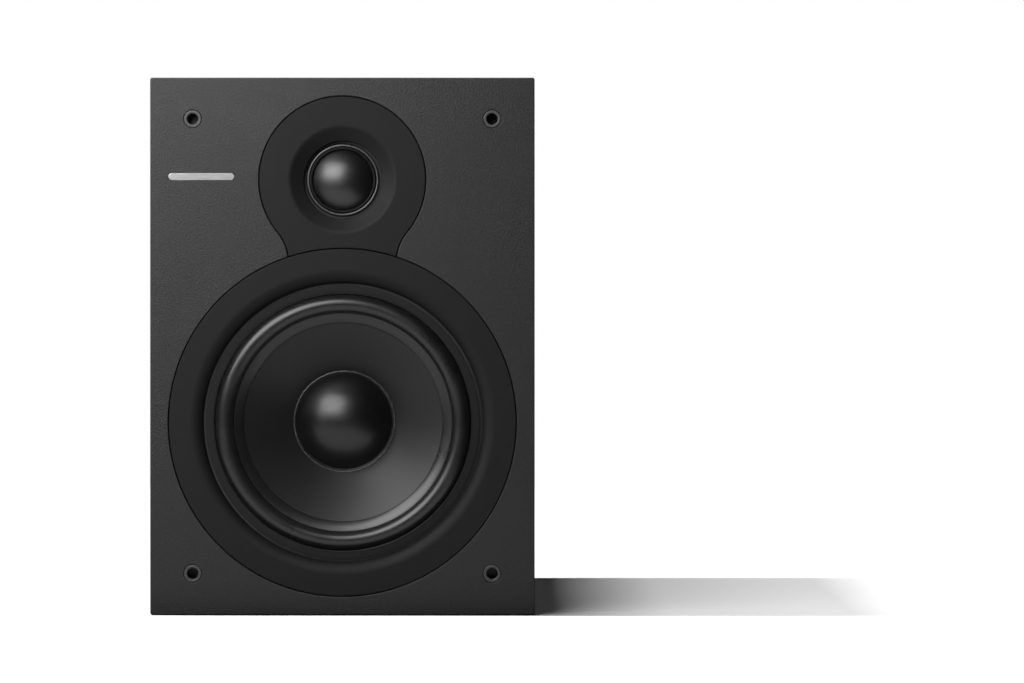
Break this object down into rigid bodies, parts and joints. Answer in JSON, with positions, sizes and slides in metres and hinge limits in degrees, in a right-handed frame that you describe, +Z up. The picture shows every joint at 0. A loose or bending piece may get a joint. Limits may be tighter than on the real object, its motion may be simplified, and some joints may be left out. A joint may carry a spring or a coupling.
{
  "type": "bookshelf speaker",
  "caption": "Compact two-way bookshelf speaker: sealed-edge box with a coned woofer, a domed tweeter in a necked trim plate, a flared rear port and recessed binding posts.",
  "frame": {"origin": "centre of the base, on the surface that the speaker stands on", "axes": "+Z up, the front faces -Y, +X to the right seen from the front"},
  "size_m": [0.161, 0.24, 0.225],
  "materials": {
    "cabinet_black": "satin",
    "cabinet_wrap": "satin",
    "raw_board": "matte",
    "foam": "matte",
    "black_plastic": "satin",
    "satin_plastic": "satin",
    "badge_metal": "satin",
    "cast_frame": "satin",
    "gasket_foam": "matte",
    "black_steel": "satin",
    "plated_steel": "satin",
    "ferrite": "matte",
    "rubber": "satin",
    "cone_paper": "satin",
    "cap_rubber": "satin",
    "spider_cloth": "matte",
    "former": "satin",
    "copper": "gloss",
    "clamp_metal": "gloss",
    "silk": "satin",
    "tag_board": "matte",
    "brass": "polished",
    "red_plastic": "gloss",
    "circuit_board": "satin",
    "standoff_plastic": "satin",
    "capacitor_film": "gloss",
    "cement": "matte",
    "wire_red": "satin",
    "wire_black": "satin"
  },
  "bodies": {
    "cabinet": {"front_baffle": "cabinet_black", "bottom_panel": "cabinet_wrap", "top_panel": "cabinet_wrap", "left_panel": "cabinet_wrap", "right_panel": "cabinet_wrap", "rear_panel": "cabinet_wrap", "window_brace": "raw_board", "wall_foam": "foam", "grille_sockets": "black_plastic", "blank_badge": "badge_metal", "woofer_trim_ring": "satin_plastic", "woofer_basket": "cast_frame", "woofer_gasket": "gasket_foam", "woofer_screws": "black_steel", "woofer_top_plate": "plated_steel", "woofer_magnet": "ferrite", "woofer_back_plate": "plated_steel", "tweeter_trim_plate": "satin_plastic", "tweeter_chassis": "black_plastic", "tweeter_gasket": "gasket_foam", "tweeter_screws": "black_steel", "tweeter_clamp_ring": "clamp_metal", "tweeter_top_plate": "plated_steel", "tweeter_magnet": "ferrite", "tweeter_back_plate": "plated_steel", "tweeter_rear_cup": "black_plastic", "tag_boards": "tag_board", "driver_tags": "brass", "port_tube": "black_plastic", "terminal_cup": "black_plastic", "terminal_gasket": "gasket_foam", "terminal_screws": "black_steel", "post_studs": "brass", "post_nuts": "brass", "post_tags": "brass", "red_collar": "red_plastic", "black_collar": "black_plastic", "crossover_board": "circuit_board", "crossover_standoffs": "standoff_plastic", "crossover_screws": "plated_steel", "crossover_inductors": "copper", "crossover_capacitors": "capacitor_film", "crossover_resistor": "cement", "red_wires": "wire_red", "black_wires": "wire_black"},
    "woofer_moving": {"woofer_cone": "cone_paper", "woofer_dust_cap": "cap_rubber", "woofer_coil_former": "former", "woofer_voice_coil": "copper", "woofer_surround": "rubber", "woofer_spider": "spider_cloth", "woofer_tinsel_leads": "copper"},
    "tweeter_moving": {"tweeter_dome": "silk", "tweeter_coil_former": "former", "tweeter_voice_coil": "copper", "tweeter_surround": "silk"},
    "red_washer": {"red_washer": "brass"},
    "red_knob": {"red_knob": "red_plastic"},
    "black_washer": {"black_washer": "brass"},
    "black_knob": {"black_knob": "black_plastic"}
  },
  "joints": [
    {"name": "woofer_stroke", "type": "slide", "parent": "cabinet", "child": "woofer_moving", "axis": [0, -1, 0], "range_m": [-0.005, 0.005], "stiffness_N_per_m": 1200, "deforming": ["woofer_surround", "woofer_spider", "woofer_tinsel_leads"]},
    {"name": "tweeter_stroke", "type": "slide", "parent": "cabinet", "child": "tweeter_moving", "axis": [0, -1, 0], "range_m": [-0.0003, 0.0003], "stiffness_N_per_m": 400, "deforming": ["tweeter_surround"]},
    {"name": "red_post_travel", "type": "slide", "parent": "cabinet", "child": "red_washer", "axis": [0, 1, 0], "range_m": [0, 0.0045]},
    {"name": "red_post_turn", "type": "hinge", "parent": "red_washer", "child": "red_knob", "pos_m": [0.0095, 0.1018, 0.052], "axis": [0, 1, 0], "range_deg": [0, 2161]},
    {"name": "black_post_travel", "type": "slide", "parent": "cabinet", "child": "black_washer", "axis": [0, 1, 0], "range_m": [0, 0.0045]},
    {"name": "black_post_turn", "type": "hinge", "parent": "black_washer", "child": "black_knob", "pos_m": [-0.0095, 0.1018, 0.052], "axis": [0, 1, 0], "range_deg": [0, 2161]}
  ],
  "couplings": [
    {"joint": "red_post_turn", "follows": "red_post_travel", "rad_per_m": 8377.6},
    {"joint": "black_post_turn", "follows": "black_post_travel", "rad_per_m": 8377.6}
  ]
}
